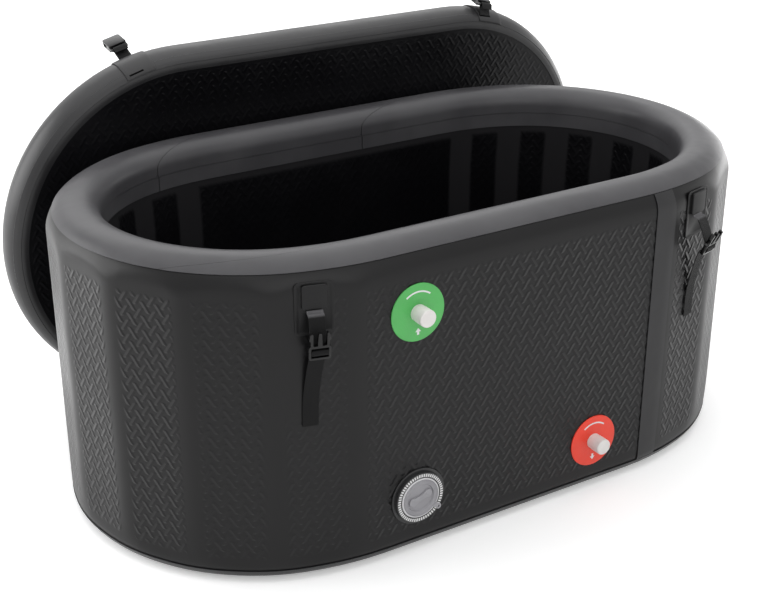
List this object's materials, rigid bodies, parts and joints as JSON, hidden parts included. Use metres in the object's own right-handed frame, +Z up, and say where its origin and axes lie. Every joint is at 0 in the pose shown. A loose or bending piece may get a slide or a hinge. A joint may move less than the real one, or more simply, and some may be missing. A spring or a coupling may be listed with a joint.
{
  "type": "cold plunge tub",
  "caption": "Oval inflatable plunge tub with faceted ends, water inlet and outlet, inflation valve, buckle straps and a separate inflatable lid leaning on its back rim.",
  "frame": {"origin": "on the floor, under the middle of the tub's base", "axes": "+X along the tub to the right as seen from its front, -Y out of its front, +Z up"},
  "size_m": [1.2952, 0.9008, 0.703],
  "materials": {
    "skin": "satin",
    "tape": "satin",
    "webbing": "matte",
    "buckle_plastic": "satin",
    "rubber": "matte",
    "green_plastic": "satin",
    "red_plastic": "satin",
    "white_plastic": "gloss",
    "black_plastic": "satin",
    "grey_plastic": "satin",
    "steel": "polished"
  },
  "bodies": {
    "tub": {"tub_wall": "skin", "rim_tape": "tape", "base_tape": "tape", "floor_panel": "skin", "base_sheet": "tape", "seam_strip_outer": "tape", "seam_strip_inner": "tape", "inlet_disc": "green_plastic", "inlet_stem": "white_plastic", "inlet_washer": "rubber", "inlet_lock_nut": "white_plastic", "outlet_disc": "red_plastic", "outlet_stem": "white_plastic", "outlet_washer": "rubber", "outlet_lock_nut": "white_plastic", "tub_valve_body": "black_plastic", "tub_valve_back_nut": "black_plastic", "tub_valve_seal_ring": "rubber", "tub_valve_spring": "steel", "strap_patch_front_left": "tape", "strap_patch_front_right": "tape", "strap_patch_back_left": "tape", "strap_patch_back_right": "tape"},
    "lid": {"lid_panel": "skin", "lid_edge_tape": "tape", "lid_valve_body": "black_plastic", "lid_valve_back_nut": "black_plastic", "lid_valve_seal_ring": "rubber", "lid_valve_spring": "steel", "lid_strap_patch_upper_left": "tape", "lid_strap_patch_upper_right": "tape", "lid_strap_patch_lower_left": "tape", "lid_strap_patch_lower_right": "tape"},
    "inlet_cap": {"inlet_cap": "white_plastic"},
    "outlet_cap": {"outlet_cap": "white_plastic"},
    "tub_valve_cap": {"tub_valve_cap": "grey_plastic"},
    "tub_valve_plunger": {"tub_valve_plunger": "black_plastic"},
    "lid_valve_cap": {"lid_valve_cap": "grey_plastic"},
    "lid_valve_plunger": {"lid_valve_plunger": "black_plastic"},
    "tub_strap_front_left": {"strap_webbing_front_left": "webbing", "strap_buckle_front_left": "buckle_plastic"},
    "tub_strap_front_right": {"strap_webbing_front_right": "webbing", "strap_buckle_front_right": "buckle_plastic"},
    "tub_strap_back_left": {"strap_webbing_back_left": "webbing", "strap_buckle_back_left": "buckle_plastic"},
    "tub_strap_back_right": {"strap_webbing_back_right": "webbing", "strap_buckle_back_right": "buckle_plastic"},
    "lid_strap_upper_left": {"lid_strap_webbing_upper_left": "webbing", "lid_strap_buckle_upper_left": "buckle_plastic"},
    "lid_strap_upper_right": {"lid_strap_webbing_upper_right": "webbing", "lid_strap_buckle_upper_right": "buckle_plastic"},
    "lid_strap_lower_left": {"lid_strap_webbing_lower_left": "webbing", "lid_strap_buckle_lower_left": "buckle_plastic"},
    "lid_strap_lower_right": {"lid_strap_webbing_lower_right": "webbing", "lid_strap_buckle_lower_right": "buckle_plastic"}
  },
  "joints": [
    {"name": "lid_lift", "type": "slide", "parent": "tub", "child": "lid", "axis": [0, 0, 1], "range_m": [0, 0.7]},
    {"name": "inlet_cap_pull", "type": "slide", "parent": "tub", "child": "inlet_cap", "axis": [0, -1, 0], "range_m": [0, 0.03]},
    {"name": "outlet_cap_pull", "type": "slide", "parent": "tub", "child": "outlet_cap", "axis": [0, -1, 0], "range_m": [0, 0.03]},
    {"name": "tub_valve_cap_pull", "type": "slide", "parent": "tub", "child": "tub_valve_cap", "axis": [0, -1, 0], "range_m": [0, 0.03]},
    {"name": "tub_valve_press", "type": "slide", "parent": "tub", "child": "tub_valve_plunger", "axis": [0, 1, 0], "range_m": [0, 0.005], "stiffness_N_per_m": 300, "springref_m": -0.003, "deforming": ["tub_valve_spring"]},
    {"name": "lid_valve_cap_pull", "type": "slide", "parent": "lid", "child": "lid_valve_cap", "axis": [0, 0.9945, 0.1045], "range_m": [0, 0.03]},
    {"name": "lid_valve_press", "type": "slide", "parent": "lid", "child": "lid_valve_plunger", "axis": [0, -0.9945, -0.1045], "range_m": [0, 0.005], "stiffness_N_per_m": 300, "springref_m": -0.003, "deforming": ["lid_valve_spring"]},
    {"name": "tub_strap_swing_front_left", "type": "hinge", "parent": "tub", "child": "tub_strap_front_left", "pos_m": [-0.3689, -0.33138, 0.461], "axis": [-0.967, 0.2546, 0], "range_deg": [0, 85]},
    {"name": "tub_strap_swing_front_right", "type": "hinge", "parent": "tub", "child": "tub_strap_front_right", "pos_m": [0.3689, -0.33138, 0.461], "axis": [-0.967, -0.2546, 0], "range_deg": [0, 60]},
    {"name": "tub_strap_swing_back_left", "type": "hinge", "parent": "tub", "child": "tub_strap_back_left", "pos_m": [-0.3689, 0.33138, 0.461], "axis": [0.967, 0.2546, 0], "range_deg": [0, 4]},
    {"name": "tub_strap_swing_back_right", "type": "hinge", "parent": "tub", "child": "tub_strap_back_right", "pos_m": [0.3689, 0.33138, 0.461], "axis": [0.967, -0.2546, 0], "range_deg": [0, 4]},
    {"name": "lid_strap_swing_upper_left", "type": "hinge", "parent": "lid", "child": "lid_strap_upper_left", "pos_m": [-0.34024, 0.39527, 0.66602], "axis": [0.9659, -0.0271, 0.2574], "range_deg": [-60, 80]},
    {"name": "lid_strap_swing_upper_right", "type": "hinge", "parent": "lid", "child": "lid_strap_upper_right", "pos_m": [0.40071, 0.33456, 0.66328], "axis": [0.9659, 0.0271, -0.2574], "range_deg": [-12, 90]},
    {"name": "lid_strap_swing_lower_left", "type": "hinge", "parent": "lid", "child": "lid_strap_lower_left", "pos_m": [-0.34024, 0.46295, 0.02217], "axis": [-0.9659, -0.0271, 0.2574], "range_deg": [-60, 80]},
    {"name": "lid_strap_swing_lower_right", "type": "hinge", "parent": "lid", "child": "lid_strap_lower_right", "pos_m": [0.41424, 0.46295, 0.02217], "axis": [-0.9659, 0.0271, -0.2574], "range_deg": [-60, 80]}
  ]
}
